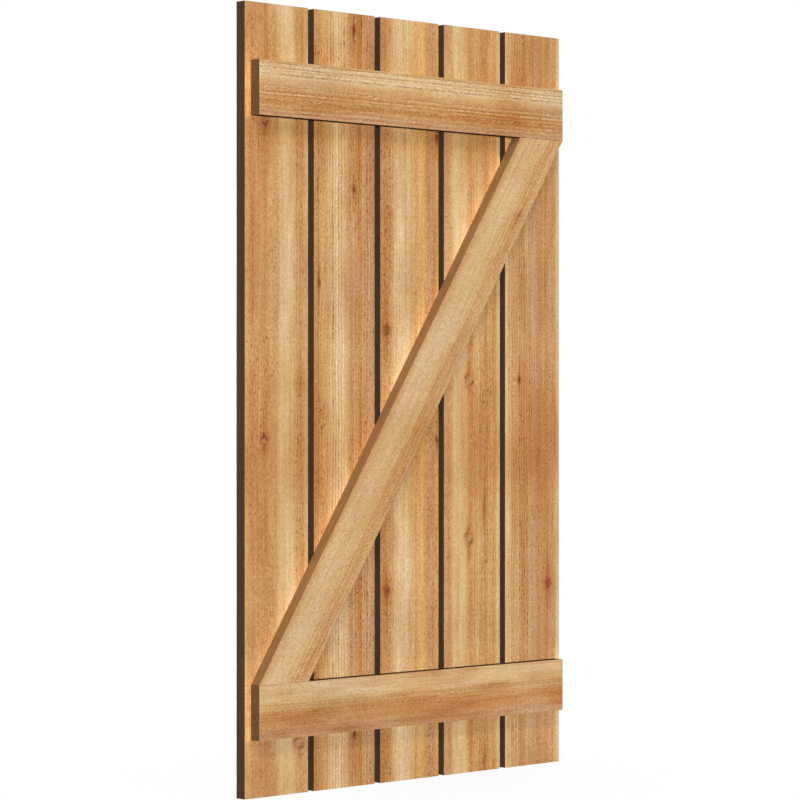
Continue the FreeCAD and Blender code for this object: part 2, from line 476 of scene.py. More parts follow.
brace_along = math.cos(brace_slope) * ACROSS_X + math.sin(brace_slope) * UPWARD
brace_across = math.sin(brace_slope) * ACROSS_X - math.cos(brace_slope) * UPWARD
stick_sizes[BRACE] = (BRACE_WIDTH, brace_box[1], BRACE_LENGTH)
sticks[BRACE] = make_stick(
    "cedar_brace",
    brace_middle,
    np.array([brace_across, INWARD, brace_along]),
    stick_sizes[BRACE],
    BRACE_SPACING,
    BRACE_SEED,
    shear=1 / math.tan(brace_slope),
)


def triangle_count(mesh):
    """How many triangles a mesh comes to: each polygon makes two fewer than it has corners."""
    corners = np.empty(len(mesh.polygons), dtype=np.int32)
    mesh.polygons.foreach_get("loop_total", corners)
    return int((corners - 2).sum())


for node, stick in sticks.items():
    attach(stick, "root")
    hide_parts(node)
    print(stick.name, "replaces", node, "with", triangle_count(stick.data), "triangles")

# %% [markdown]
# A finish is a tree of nodes. Adding nodes and links one by one hides the idea, so a small class wraps one
# socket and turns Python's operators into Math nodes, and a second one holds the material and adds any
# other node from its type, its settings and what its sockets get.

# %% Shader maths as Python expressions
class Value:
    """One socket of a finish that takes part in arithmetic: each operator adds a Math node."""

    def __init__(self, finish, socket):
        self.finish = finish
        self.socket = socket

    def maths(self, operation, *terms):
        """Adds a Math node that works on these terms, in this order."""
        return self.finish.node("Math", {"operation": operation}, dict(enumerate(terms)))

    def __add__(self, term):
        return self.maths("ADD", self, term)

    __radd__ = __add__

    def __sub__(self, term):
        return self.maths("SUBTRACT", self, term)

    def __rsub__(self, term):
        return self.maths("SUBTRACT", term, self)

    def __mul__(self, term):
        return self.maths("MULTIPLY", self, term)

    __rmul__ = __mul__

    def __truediv__(self, term):
        return self.maths("DIVIDE", self, term)

    def __rtruediv__(self, term):
        return self.maths("DIVIDE", term, self)

    def __pow__(self, term):
        return self.maths("POWER", self, term)

    def most(self, term):
        """The larger of two values."""
        return self.maths("MAXIMUM", self, term)

    def size(self):
        """The value without its sign."""
        return self.maths("ABSOLUTE", self)

    def fade(self):
        """exp(-x), which is 1 at 0 and falls off above it."""
        return self.maths("EXPONENT", self * -1)

    def bell(self):
        """exp(-x * x), which is 1 at 0 and falls off on both sides."""
        return (self * self).fade()

    def ease(self, low, high):
        """0 below low, 1 above high and a smooth step between."""
        sockets = {"Value": self, "From Min": low, "From Max": high}
        return self.finish.node("MapRange", {"interpolation_type": "SMOOTHSTEP"}, sockets)

    def sine(self):
        """The sine of the value."""
        return self.maths("SINE", self)

    def folded(self):
        """The value going up and down between 0 and 1, as if folded back at both."""
        return self.maths("PINGPONG", self, 1.0)

    def other(self, output):
        """Another output of the same node."""
        return Value(self.finish, self.socket.node.outputs[output])


class Finish:
    """A material, or another tree of nodes, written as expressions."""

    def __init__(self, name, tree=None):
        if tree is None:
            self.material = bpy.data.materials.new(name)
            self.material.use_nodes = True
            tree = self.material.node_tree
        self.tree = tree
        self.tree.nodes.clear()

    def node(self, kind, settings=None, sockets=None, output=0):
        """Adds a node: its settings first, then each socket's link or value. Returns one of its outputs."""
        made = self.tree.nodes.new("ShaderNode" + kind)
        for key, value in (settings or {}).items():
            if key == "stops":
                self.set_stops(made.color_ramp, value)
            else:
                setattr(made, key, value)
        for key, value in (sockets or {}).items():
            if isinstance(value, Value):
                self.tree.links.new(value.socket, made.inputs[key])
            else:
                made.inputs[key].default_value = value
        return Value(self, made.outputs[output]) if made.outputs else None

    def set_stops(self, ramp, stops):
        """Gives a colour ramp its stops, from left to right."""
        ramp.elements.remove(ramp.elements[1])
        for number, (place, colour) in enumerate(stops):
            stop = ramp.elements.new(place) if number else ramp.elements[0]
            stop.position = place
            stop.color = colour

    def blend(self, factor, first, second, way="MIX"):
        """Mixes two colours by a factor."""
        settings = {"data_type": "RGBA", "blend_type": way}
        return self.node("Mix", settings, {0: factor, 6: first, 7: second}, output=2)

    def noise(self, place, cells, seed, detail=2.0, roughness=0.5):
        """Noise with that many cells per metre across, through and along the grain, about 0.5 on average."""
        shift = (seed, 1.7 * seed, 2.3 * seed)
        moved = self.node("VectorMath", {"operation": "MULTIPLY_ADD"}, {0: place, 1: cells, 2: shift})
        sockets = {"Vector": moved, "Scale": 1.0, "Detail": detail, "Roughness": roughness}
        return self.node("TexNoise", {}, sockets)

    def tint(self, factor, colour, tint):
        """Multiplies a colour by a tint, as far as the factor says."""
        return self.blend(factor, colour, self.blend(1.0, colour, tint, "MULTIPLY"))

    def kept(self, name, output=2):
        """What the mesh keeps under a name: output 2 is a value, output 1 a vector."""
        return self.node("Attribute", {"attribute_name": name}, output=output)


print("values know + - * / and **, finishes know node, blend, noise, tint and kept")

# %% [markdown]
# Cedar runs from pale cream sapwood to russet heartwood, with rose and amber between. These tones were chosen
# to match the photograph and named, and each stick below is a recipe of named bands across its width. The
# narrow sides are browner. The two batten edges that face each other are the darkest, as in the photograph:
# the top batten's underside is painted near black as the shade beneath it, and the bottom batten's upper edge
# is dark too. The outer two are about as brown as a board's end. A ramp wants linear light, so the display
# values are turned into linear ones first.

# %% Tones of the wood
def linear(red, green, blue):
    """Display values from 0 to 255 as linear light: ((c + 0.055) / 1.055) ** 2.4, with a straight toe."""
    shown = np.array([red, green, blue]) / 255
    light = np.where(shown <= 0.04045, shown / 12.92, ((shown + 0.055) / 1.055) ** 2.4)
    return (*light.tolist(), 1.0)


TONES = {
    "pale": linear(217, 183, 135),
    "cream": linear(213, 176, 127),
    "straw": linear(210, 170, 117),
    "honey": linear(205, 159, 105),
    "amber": linear(215, 168, 104),
    "orange": linear(209, 156, 94),
    "gold": linear(203, 153, 93),
    "tan": linear(198, 150, 98),
    "copper": linear(195, 142, 88),
    "rose": linear(193, 146, 103),
    "russet": linear(189, 135, 83),
    "umber": linear(186, 136, 92),
    "ash": linear(200, 168, 130),
    # a bluish-white sheen painted on the top batten, not a tone of the wood
    "painted_sheen": linear(218, 196, 164),
    "sienna": linear(184, 124, 66),
}
SIDE_OF_BOARD = linear(70, 51, 34)
END_OF_BOARD = linear(128, 92, 60)
OUTER_EDGE = linear(122, 88, 57)
# painted shade: the near black of the top batten's underside stands in for the shade beneath it
TOP_UNDERSIDE_SHADE = linear(32, 20, 12)
BOTTOM_INNER_EDGE = linear(53, 33, 19)
END_OF_BATTEN = linear(103, 74, 47)
SIDE_OF_BRACE = linear(142, 104, 63)
KNOT_DARK = linear(106, 56, 26)
KNOT_RED = linear(148, 80, 38)
KNOT_HALO = linear(174, 104, 47)
KNOT_PALE = linear(184, 144, 112)
KNOT_HEART = linear(142, 86, 56)
TORN_DARK = linear(112, 72, 32)
# pale lip of the torn lines: partly the fibres' own colour, partly a painted glint
TORN_PALE_GLINT = linear(246, 222, 180)
# the brightening of the painted bounced light beside the brace and the battens
PAINTED_GLOW_TINT = (1.6, 1.6, 1.6, 1.0)
# the tint of the painted brown shade under and above the top batten
BROWN_SHADE_TINT = (0.92, 0.82, 0.69, 1.0)
SILVER_TINT = (0.95, 1.03, 1.16, 1.0)
print(len(TONES), "tones for the bands")

# %% [markdown]
# A sawn board shows its growth rings as bands of tone. One wood texture could serve every stick, but then all
# would look alike, so each has a recipe of its own. It reads from the left edge of a board to its right edge,
# in hundredths of its width, the battens' from top to bottom and the brace's from its upper side to its
# lower. Weather reads along the stick from its left or lower end, in words for how bright it is. On the
# boards it also paints light just below the bottom batten, where it lifts the cast shadow.

# %% Bands of the sticks
BANDS = {
    "board_1": (
        "0 orange 5 orange 9 copper 13 umber 17 copper 21 copper 28 copper 32 russet 36 copper 40 tan 46 tan"
        " 52 honey 55 straw 58 cream 73 cream 77 straw 80 tan 84 tan 89 copper 92 tan 95 honey 100 straw"
    ),
    "board_2": (
        "0 russet 4 russet 9 copper 14 gold 20 gold 25 straw 28 straw 33 cream 36 pale 41 pale 45 cream"
        " 52 straw 55 honey 58 tan 61 umber 66 tan 70 copper 73 russet 75 sienna 78 russet 82 tan 86 rose"
        " 92 rose 97 umber 100 umber"
    ),
    "board_3": (
        "0 russet 8 russet 11 copper 17 tan 20 honey 24 cream 31 pale 36 pale 42 cream 46 pale 50 cream"
        " 53 straw 57 amber 61 gold 66 amber 74 amber 77 orange 80 tan 83 rose 86 rose 90 copper 95 gold"
        " 100 gold"
    ),
    "board_4": (
        "0 tan 10 tan 14 honey 17 cream 28 cream 33 straw 38 straw 42 honey 45 copper 49 copper 53 gold"
        " 57 honey 62 honey 66 tan 70 tan 73 copper 75 russet 77 copper 80 gold 83 honey 86 gold 89 copper"
        " 92 gold 95 straw 98 cream 100 straw"
    ),
    "board_5": (
        "0 cream 5 cream 9 honey 14 tan 19 tan 25 tan 29 russet 34 russet 37 copper 42 tan 49 rose 55 rose"
        " 60 umber 65 russet 70 copper 74 russet 78 russet 81 tan 88 copper 91 tan 94 straw 97 cream"
        " 100 cream"
    ),
    "top_batten": (
        "0 honey 3 straw 5 honey 8 pale 12 cream 16 cream 20 pale 28 pale 30 cream 33 straw 38 honey 43 tan"
        " 50 tan 54 copper 58 copper 61 russet 63 sienna 66 copper 69 russet 72 sienna 78 sienna 81 copper"
        " 84 copper 88 rose 100 rose"
    ),
    "bottom_batten": (
        "0 straw 2 cream 7 cream 14 pale 24 pale 30 cream 34 straw 37 honey 39 tan 47 tan 51 copper"
        " 57 copper 62 russet 70 russet 74 copper 80 tan 84 rose 90 umber 94 rose 100 rose"
    ),
    "diagonal_brace": (
        "0 rose 4 honey 10 straw 18 cream 45 cream 52 straw 60 straw 64 honey 67 straw 70 copper 73 honey"
        " 77 copper 80 honey 84 copper 87 honey 91 tan 94 honey 100 honey"
    ),
}
# the bright stops at 6 and 7 hundredths are painted light that lifts the shadow just below the bottom batten
BOARD_WEATHER_AND_PAINTED_LIGHT = (
    "0 fair 4 fair 6 bright 7 bright 10 fair 14 plain 22 plain 27 fair 32 fair 36 plain 40 sunk 44 sunk"
    " 48 dull 52 plain 57 fair 62 plain 67 plain 72 bright 76 fair 80 plain 83 fair 92 plain 96 plain"
    " 100 fair"
)
WEATHER = {
    "top_batten": (
        "0 bright 6 fair 10 fair 16 dull 22 dull 27 plain 32 fair 42 bright 50 plain 58 fair 66 plain"
        " 73 plain 78 sunk 84 sunk 90 fair 94 fair 97 plain 100 plain"
    ),
    "bottom_batten": (
        "0 fair 8 plain 16 fair 26 fair 34 fair 42 plain 48 sunk 56 sunk 62 dull 68 plain 75 fair"
        " 82 plain 89 fair 95 plain 100 dull"
    ),
    "diagonal_brace": (
        "0 bright 8 fair 15 plain 24 plain 29 dull 34 sunk 45 sunk 51 plain 58 plain 81 plain"
        " 87 fair 93 plain 100 plain"
    ),
}
LEVELS = {"sunk": 0.86, "dull": 0.93, "plain": 1.0, "fair": 1.06, "bright": 1.13}


def band_stops(recipe):
    """Turns the recipe's words into ramp stops: a place from 0 to 1 and a tone."""
    words = recipe.split()
    return [(float(place) / 100, TONES[tone]) for place, tone in zip(words[::2], words[1::2])]


def weather_stops(recipe):
    """Turns words for levels into ramp stops of grey, half as bright as the level so that none is above 1."""
    words = recipe.split()
    levels = [LEVELS[word] / 2 for word in words[1::2]]
    return [(float(place) / 100, (level, level, level, 1.0)) for place, level in zip(words[::2], levels)]


print({node: len(band_stops(recipe)) for node, recipe in BANDS.items()}, "bands")

# %% [markdown]
# No two sticks have the same marks. Knots and stains are placed in millimetres from the middle of the stick,
# across it and along it, with a half width and a half length, and a stain pulls the bands towards one tone.
# Lined wood shows its rings as crisp lines between two places across the stick, and silver wood has greyed
# around a place along it. Scattered at random they would not be this shutter's, so they are listed. The other
# numbers say how strong each stick's flecks, soft patches and grit are, how far apart its rings lie and how
# much its bands sway.

# %% Knots, stains and grain of the sticks
KNOTS = {
    "board_1": ((-26, 447, 5, 4.8, "cup"), (-27, -65, 5.2, 5.4, "hood"), (48, -553, 7, 7, "eye")),
    "board_2": (
        (21, 609, 2.8, 7, "pin"),
        (21, 346, 3, 7, "pin"),
        (-57, 191, 2.2, 8, "pin"),
        (-63, -16, 8, 10, "dull"),
        (21, -550, 3.4, 6, "pin"),
    ),
    "board_3": (
        (-54, 117, 6.6, 9, "red"),
        (-54, -317, 6.6, 9, "red"),
        (64, 444, 3, 6, "pin"),
        (64, -67, 3, 6, "pin"),
        (-12, 441, 2, 14, "dull"),
    ),
    "board_4": (
        (-8, 34, 7.0, 7.4, "eye"),
        (-8, -235, 7.0, 7.4, "eye"),
        (29, -181, 2.6, 11, "split"),
        (29, -619, 2.6, 10, "split"),
        (-1, -562, 6, 9, "dull"),
    ),
    "board_5": ((-33, 35, 2.6, 6.5, "pin"), (40, -319, 6.6, 9, "red")),
    "top_batten": (),
    "bottom_batten": ((-39, 135, 1.8, 10, "dull"),),
    "diagonal_brace": ((28, 380, 5, 7, "dull"),),
}
STAINS = {
    "board_1": (
        (-22, 405, 9, 60, "russet", 0.5),
        (-22, -115, 9, 70, "russet", 0.4),
        (52, 26, 9, 16, "sienna", 0.5),
    ),
    "board_2": (
        (-52, 404, 14, 30, "umber", 0.6),
        (-50, -30, 14, 24, "russet", 0.6),
        (10, 190, 40, 25, "rose", 0.35),
    ),
    "board_3": (
        (-46, 300, 12, 60, "russet", 0.6),
        (-35, -230, 8, 25, "copper", 0.5),
        (10, 190, 40, 20, "tan", 0.4),
    ),
    "board_4": (
        (20, -60, 26, 60, "russet", 0.45),
        (33, -192, 8, 18, "sienna", 0.7),
        (33, -606, 8, 18, "sienna", 0.7),
    ),
    "board_5": (
        (0, -103, 60, 36, "russet", 0.5),
        (40, -318, 22, 26, "umber", 0.5),
        (0, 100, 55, 30, "tan", 0.4),
    ),
    "top_batten": (
        # the painted_sheen stains paint a specular sheen on the top batten
        (-36, -228, 9, 34, "painted_sheen", 0.5),
        (-12, -226, 16, 40, "ash", 0.4),
        (17, 226, 9, 40, "sienna", 0.8),
        (-34, 340, 9, 30, "painted_sheen", 0.6),
        (-2, 335, 14, 34, "ash", 0.5),
        (22, 340, 14, 40, "tan", 0.6),
        (0, -10, 14, 110, "straw", 0.3),
        (22, -215, 16, 70, "russet", 0.5),
    ),
    "bottom_batten": (
        (-39, 38, 6, 22, "copper", 0.7),
        (-39, 120, 6, 24, "copper", 0.7),
        (18, 45, 22, 45, "russet", 0.5),
        (-16, -250, 14, 110, "tan", 0.55),
        (-19, 280, 11, 110, "pale", 0.9),
        (33, -200, 12, 60, "tan", 0.5),
        (-33, 80, 10, 130, "honey", 0.25),
    ),
    "diagonal_brace": ((30, -62, 11, 58, "russet", 0.8), (26, 380, 8, 16, "sienna", 0.6)),
}
LINED = {
    "board_1": ((0.74, 0.95, 0.4), (0.10, 0.45, 0.25)),
    "board_2": ((0.24, 0.52, 0.8), (0.60, 0.95, 0.55), (0.02, 0.20, 0.55)),
    "board_3": ((0.02, 0.45, 0.3), (0.45, 0.75, 0.2)),
    "board_4": ((0.50, 1.00, 0.4),),
    "board_5": ((0.05, 0.48, 0.6), (0.48, 0.90, 0.25)),
    "top_batten": ((0.45, 1.00, 0.5), (0.00, 0.25, 0.2)),
    "bottom_batten": ((0.30, 0.70, 0.25),),
    "diagonal_brace": ((0.58, 1.00, 0.4),),
}
BOARD_SILVER = ((190, 60, 0.4), (-400, 60, 0.5))
SILVER = {
    "top_batten": ((-235, 45, 0.4), (330, 30, 0.4)),
    "bottom_batten": ((-190, 80, 0.8), (290, 40, 0.6)),
    "diagonal_brace": ((-440, 60, 0.4), (140, 70, 0.3), (0, 600, 0.5)),
}
BOARD_FLECKS = 0.45
FLECKS = {
    "board_1": 0.5,
    "board_4": 0.35,
    "board_5": 0.3,
    "top_batten": 0.15,
    "bottom_batten": 0.2,
    "diagonal_brace": 0.15,
}
BOARD_RING_SPACING = 6.4
RING_SPACING = {"top_batten": 6.6, "bottom_batten": 5.0, "diagonal_brace": 7.0}
BREADTH = {"board_2": 0.85, "top_batten": 0.5, "bottom_batten": 1.5, "diagonal_brace": 0.65}
GRIT = {"board_1": 0.75, "board_2": 0.95, "board_4": 0.85, "top_batten": 0.8, "bottom_batten": 0.95}
BOARD_SWAY = 0.08
SWAY = {"bottom_batten": 0.16, "top_batten": 0.07, "diagonal_brace": 0.05}
print({node: (len(KNOTS[node]), len(STAINS[node])) for node in BANDS}, "knots and stains")

# %% [markdown]
# Knots are where branches grew. The grain parts round each one and flames out along it. An eye, a hood and a
# cup are round, with a pale middle and a red rim that is darker in places: above on a hood, below on a cup
# and at two corners of an eye. A red knot is a lens with a heart, a pin is a small dark lens, a split is a
# slanting dark check, and a dull knot is only its flame. Pictures of knots would repeat, so each is drawn by
# distances from its middle.

# %% Knots
KNOT_FLAME = {"eye": 0.8, "hood": 0.8, "cup": 0.7, "red": 0.85, "pin": 0.7, "split": 0.7, "dull": 0.5}
SHADED_RIM = {"eye": (0.0, 0.0, -1.4, 0.2), "hood": (0.2, 0.9, 0.0, 0.5), "cup": (0.2, -0.9, 0.0, 0.4)}


def knot_masks(knots, across, along, wobble):
    """How far knots push the grain aside, and masks of their flame, rim, pale middle, heart and dark parts.

    An eye is an ellipse: away is the distance from its middle in half widths and half lengths, 1 at its rim.
    Other knots are lenses, where two arcs meet in a point: lens is the root of (|off| + 1)^2 + 3 up^2,
    less 1. A flame is a bell curve across the grain that narrows along it, and a tail is a thin one.
    """
    push = flame = rim = pale = heart = dark = across * 0
    for place, height, half_width, half_length, kind in knots:
        aside = across - place * MILLIMETRE
        off = aside / (half_width * MILLIMETRE) + wobble
        up = (along - height * MILLIMETRE) / (half_length * MILLIMETRE) + wobble
        away = (off * off + up * up) ** 0.5
        lens = ((off.size() + 1) ** 2 + 3 * up * up) ** 0.5 - 1
        push = push + aside * (away * 0.42).bell() * 0.6
        streak = (off * (0.6 + 0.22 * up.size())).bell() * (up * 0.19).bell()
        tail = (off * 2.6).bell() * (up * 0.24).bell()
        flame = flame.most(streak * KNOT_FLAME[kind])
        if kind in SHADED_RIM:
            across_share, along_share, corner_share, darkness = SHADED_RIM[kind]
            shaded = (off * across_share + up * along_share + off * up * corner_share).ease(-0.1, 0.8)
            edge = ((away - 1.15) * 1.8).bell()
            pale = pale.most(1 - away.ease(0.5, 1.2))
            rim = rim.most(edge * (0.15 + 0.6 * shaded)).most(tail * 0.3)
            dark = dark.most(edge * shaded * darkness)
        if kind == "red":
            heart = heart.most(1 - lens.ease(0.6, 1.1))
            flame = flame.most(((off + 0.7) * 0.45).bell() * (up * 0.6).bell() * 0.6)
            rim = rim.most(((lens - 0.95) * 2.6).bell() * 0.85).most(tail * 0.5)
            dark = dark.most((lens * 1.5 + up * 0.5).bell() * 0.25)
        if kind == "pin":
            rim = rim.most((lens * 0.55).bell() * 0.9).most(tail * 0.5)
            dark = dark.most((1 - lens.ease(0.3, 1.3)) * 0.75).most(tail * 0.25)
        if kind == "split":
            dark = dark.most((off * 1.6 - up * 0.6).bell() * (up * 0.8).bell() * 0.65)
    return push, flame, rim, pale, heart, dark


def knotted(finish, band, fibre, flame, rim, pale, heart, dark):
    """The bands with their knots: an orange flame first, then the red rim, the middle and the dark parts."""
    band = finish.blend(flame * (0.4 + 0.9 * fibre), band, KNOT_HALO)
    band = finish.blend(rim, band, KNOT_RED)
    band = finish.blend(pale * 0.7, band, KNOT_PALE)
    band = finish.blend(heart * 0.85, band, KNOT_HEART)
    return finish.blend(dark, band, KNOT_DARK)


print(len(KNOT_FLAME), "kinds of knot")

# %% [markdown]
# A growth ring shows on a sawn face as a band, and its place across the board looks up the tone. Slow noise
# bends the bands a little, and they lean through the thickness, so that the back isn't quite the front.
# Stains and greyed wood then change the bands from place to place.

# %% Bands, stains and silver wood
RING_LEAN = 0.35
BAND_WAVER = 0.05
UNLINED = 0.28
ZONE_EDGE = 0.05


def band_place(noise, bent, depth, width, thickness, sway):
    """The place across the stick from 0 to 1: leaning with the depth, swayed, and folded at the edges."""
    lean = RING_LEAN * (depth + thickness / 2) / width
    place = bent / width + 0.5 + lean + (noise.slow - 0.5) * sway + (noise.waver - 0.5) * BAND_WAVER
    return place.folded()


def stained(finish, band, stains, across, along, unevenness):
    """The bands pulled towards each stain's tone by exp(-off * off - up * up), unevenly."""
    for place, height, half_width, half_length, tone, share in stains:
        off = (across - place * MILLIMETRE) / (half_width * MILLIMETRE)
        up = (along - height * MILLIMETRE) / (half_length * MILLIMETRE)
        band = finish.blend((off * off + up * up).fade() * unevenness * share, band, TONES[tone])
    return band


def silvered(finish, band, patches, along):
    """The bands greyed by the weather around some places along the stick, each a bell curve."""
    for place, reach, strength in patches:
        silver = ((along - place * MILLIMETRE) / (reach * MILLIMETRE)).bell() * strength
        band = finish.tint(silver, band, SILVER_TINT)
    return band


def lined_share(zones, place):
    """How strongly ring lines show: each zone rises at its first edge and falls at its second."""
    share = UNLINED
    for first, last, strength in zones:
        rise = place.ease(first - ZONE_EDGE, first + ZONE_EDGE)
        share = share + rise * (1 - place.ease(last - ZONE_EDGE, last + ZONE_EDGE)) * strength
    return share


print("bands lean by", RING_LEAN, "of the depth")

# %% [markdown]
# Within a band, cedar shows cloudy patches, rings, fibres, short dark flecks, the marks of the saw across the
# grain and a fine grit. Each is a noise with its own number of cells across and along the grain. Lined wood
# adds thin dark lines and a comb of even rings. They act through two numbers, the tone and the grit. Wood
# that is darker is also more orange, so green follows the tone, red changes less and blue more, and a last
# noise moves the hue a little.

# %% Grain
NOISES = {
    "slow": (3.0, 3.5, 0, 2.0, 0.5),
    "waver": (20.0, 14.0, 3, 2.0, 0.5),
    "rings": (75.0, 1.6, 5, 4.0, 0.65),
    "fibre": (150.0, 9.0, 7, 4.0, 0.65),
    "blotch": (30.0, 6.0, 9, 3.0, 0.6),
    "dash": (340.0, 150.0, 11, 1.0, 0.5),
    "patch": (30.0, 7.0, 13, 2.0, 0.5),
    "fuzz": (310.0, 270.0, 17, 1.0, 0.5),
    "line": (260.0, 1.5, 19, 3.0, 0.6),
    "cloud": (9.0, 9.0, 29, 2.0, 0.5),
    "thin": (260.0, 2.0, 31, 1.0, 0.5),
    "broken": (90.0, 70.0, 37, 2.0, 0.5),
    "saw": (14.0, 330.0, 41, 1.0, 0.5),
    "hue": (110.0, 14.0, 43, 3.0, 0.5),
}
GRAIN_LEVEL = 0.965
RED_POWER = 0.48
BLUE_POWER = 1.5
FINE_RED_POWER = 0.6
FINE_BLUE_POWER = 1.5


def wood_noises(finish, place, seed):
    """The noises by name, each from its cells per metre across and along, seed, detail and roughness."""
    noises = {}
    for name, (across, along, shift, detail, roughness) in NOISES.items():
        noises[name] = finish.noise(place, (across, across, along), seed + shift, detail, roughness)
    noises["line"] = noises["line"].ease(0.4, 0.6)
    return SimpleNamespace(**noises)


def grain_tone(node, noise, bent, place):
    """The tone of the grain, about 1: soft broad patches and fibres, and crisp lines where it is lined.

    The comb is the sine of the distance across in ring spacings, shifted by the noise of the rings.
    """
    spacing = RING_SPACING.get(node, BOARD_RING_SPACING) * MILLIMETRE
    phase = bent * (2 * math.pi / spacing) + 3 * noise.rings + 8 * noise.waver
    lined = lined_share(LINED[node], place)
    comb = (lined - UNLINED) * (0.3 + 1.4 * noise.patch) * phase.sine()
    broad = 0.25 * (noise.rings - 0.5) + 0.8 * (noise.blotch - 0.5) + 0.35 * (noise.cloud - 0.5)
    soft = BREADTH.get(node, 1.0) * broad + 0.6 * (noise.fibre - 0.5)
    thin = noise.thin.ease(0.58, 0.68) * noise.broken.ease(0.42, 0.58)
    drawn = lined * (0.2 * (noise.line - 0.5) - 0.22 * thin)
    crisp = (0.4 + 1.2 * noise.dash.ease(0.42, 0.58)) * (drawn + 0.22 * comb)
    return GRAIN_LEVEL + soft + crisp


def grain_grit(node, noise, deep, fleck):
    """The finest change of tone, about 1: grit, dark flecks and saw marks, stronger in deep tones."""
    fuzz = GRIT.get(node, 1.0) * (0.75 + 0.4 * deep) * (noise.fuzz - 0.5)
    return 1 + fuzz - FLECKS.get(node, BOARD_FLECKS) * fleck + 0.14 * (noise.saw - 0.5)


def grain_shade(finish, tone, grit, hue):
    """What red, green and blue are multiplied by: powers of the tone and the grit, and a change of hue."""
    red = tone**RED_POWER * grit**FINE_RED_POWER * (1 + 0.15 * hue)
    blue = tone**BLUE_POWER * grit**FINE_BLUE_POWER * (1 + 0.45 * hue)
    return finish.node("CombineXYZ", {}, {0: red, 1: tone * grit, 2: blue})


print(len(NOISES), "noises make the grain")

# %% [markdown]
# One finish serves every stick: bands, stains and knots, then the grain, the torn lines, the painted bounced
# light and the painted brown shade, and last the narrow sides and the sawn ends, which are darker and show
# the grain as a hatch.
# The same noises raise the surface a little, so that it catches the light as rough wood does.

# %% The cedar finish
WOBBLE_CELLS = (110.0, 110.0, 90.0)
RAGGED_CELLS = (300.0, 300.0, 190.0)


def torn_wood(finish, wood, torn, grain, seed):
    """The wood with dark grooves and pale lips, partly a painted glint, both broken up by ragged noise."""
    ragged = finish.noise(grain, RAGGED_CELLS, seed, detail=1.0)
    wood = finish.blend(torn.most(0.0) * (0.3 + 0.7 * ragged.ease(0.40, 0.56)), wood, TORN_DARK)
    # pale lips, partly a painted glint
    return finish.blend((torn * -1).most(0.0) * ragged.ease(0.60, 0.46), wood, TORN_PALE_GLINT)


def cut_wood(finish, wood, noise, across, side_tones, end_tone):
    """The wood with painted bounced light and shade, and with its own tones on the two sides and the ends."""
    side = finish.node("SeparateXYZ", {}, {0: finish.kept("faces", output=1)})
    end, painted_glow = side.other(1), side.other(2)
    # painted bounced light beside the brace and the battens
    wood = finish.tint(painted_glow, wood, PAINTED_GLOW_TINT)
    # painted brown shade under and above the top batten
    wood = finish.tint(finish.kept("painted_brown_shade_mask"), wood, BROWN_SHADE_TINT)
    hatch = 1 + 0.7 * (noise.fibre - 0.5) + 0.5 * (noise.rings - 0.5)
    sawn = finish.node("CombineXYZ", {}, {0: hatch, 1: hatch, 2: hatch})
    side_tone = finish.blend(across.ease(-MILLIMETRE, MILLIMETRE), *side_tones)
    wood = finish.blend(side, wood, finish.blend(1.0, side_tone, sawn, "MULTIPLY"))
    return finish.blend(end, wood, finish.blend(1.0, end_tone, sawn, "MULTIPLY"))


def cedar(node, seed, side_tones, end_tone):
    """The finish of one stick, from its recipes."""
    width, thickness, length = stick_sizes[node]
    finish = Finish(f"cedar of {node}")
    grain = finish.kept("grain", output=1)
    across = finish.node("SeparateXYZ", {}, {0: grain})
    depth, along = across.other(1), across.other(2)
    wobble = (finish.noise(grain, WOBBLE_CELLS, seed + 23) - 0.5) * 1.1
    push, flame, rim, pale, heart, dark = knot_masks(KNOTS[node], across, along, wobble)
    bent = across - push
    noise = wood_noises(finish, finish.node("CombineXYZ", {}, {0: bent, 1: depth, 2: along}), seed)

    place = band_place(noise, bent, depth, width, thickness, SWAY.get(node, BOARD_SWAY))
    band = finish.node("ValToRGB", {"stops": band_stops(BANDS[node])}, {0: place})
    band = stained(finish, band, STAINS[node], across, along, 0.5 + noise.blotch)
    deep = finish.node("SeparateColor", {}, {0: band}, output=1).ease(0.42, 0.26)
    band = silvered(finish, band, SILVER.get(node, BOARD_SILVER), along)
    band = knotted(finish, band, noise.fibre, flame, rim, pale, heart, dark)

    fleck = noise.dash.ease(0.58, 0.68) * noise.patch.ease(0.40, 0.60) * (0.2 + 0.8 * deep)
    levels = weather_stops(WEATHER.get(node, BOARD_WEATHER_AND_PAINTED_LIGHT))
    half_weather = finish.node("ValToRGB", {"stops": levels}, {0: along / length + 0.5})
    tone = grain_tone(node, noise, bent, place) * 2 * half_weather
    shade = grain_shade(finish, tone, grain_grit(node, noise, deep, fleck), noise.hue - 0.5)
    torn = finish.kept("torn")
    wood = torn_wood(finish, finish.blend(1.0, band, shade, "MULTIPLY"), torn, grain, seed + 47)
    wood = cut_wood(finish, wood, noise, across, side_tones, end_tone)

    height = 0.5 * noise.fibre + 0.3 * noise.rings + 0.3 * noise.line - 0.35 * fleck - 0.5 * torn + 0.3 * pale
    bump = finish.node("Bump", {}, {"Strength": 0.35, "Distance": 0.8 * MILLIMETRE, "Height": height})
    rough = 0.72 + 0.2 * noise.fibre + 0.1 * fleck
    sockets = {"Base Color": wood, "Roughness": rough, "Normal": bump, "Specular IOR Level": 0.2}
    finish.node("OutputMaterial", {}, {"Surface": finish.node("BsdfPrincipled", {}, sockets)})
    return finish.material


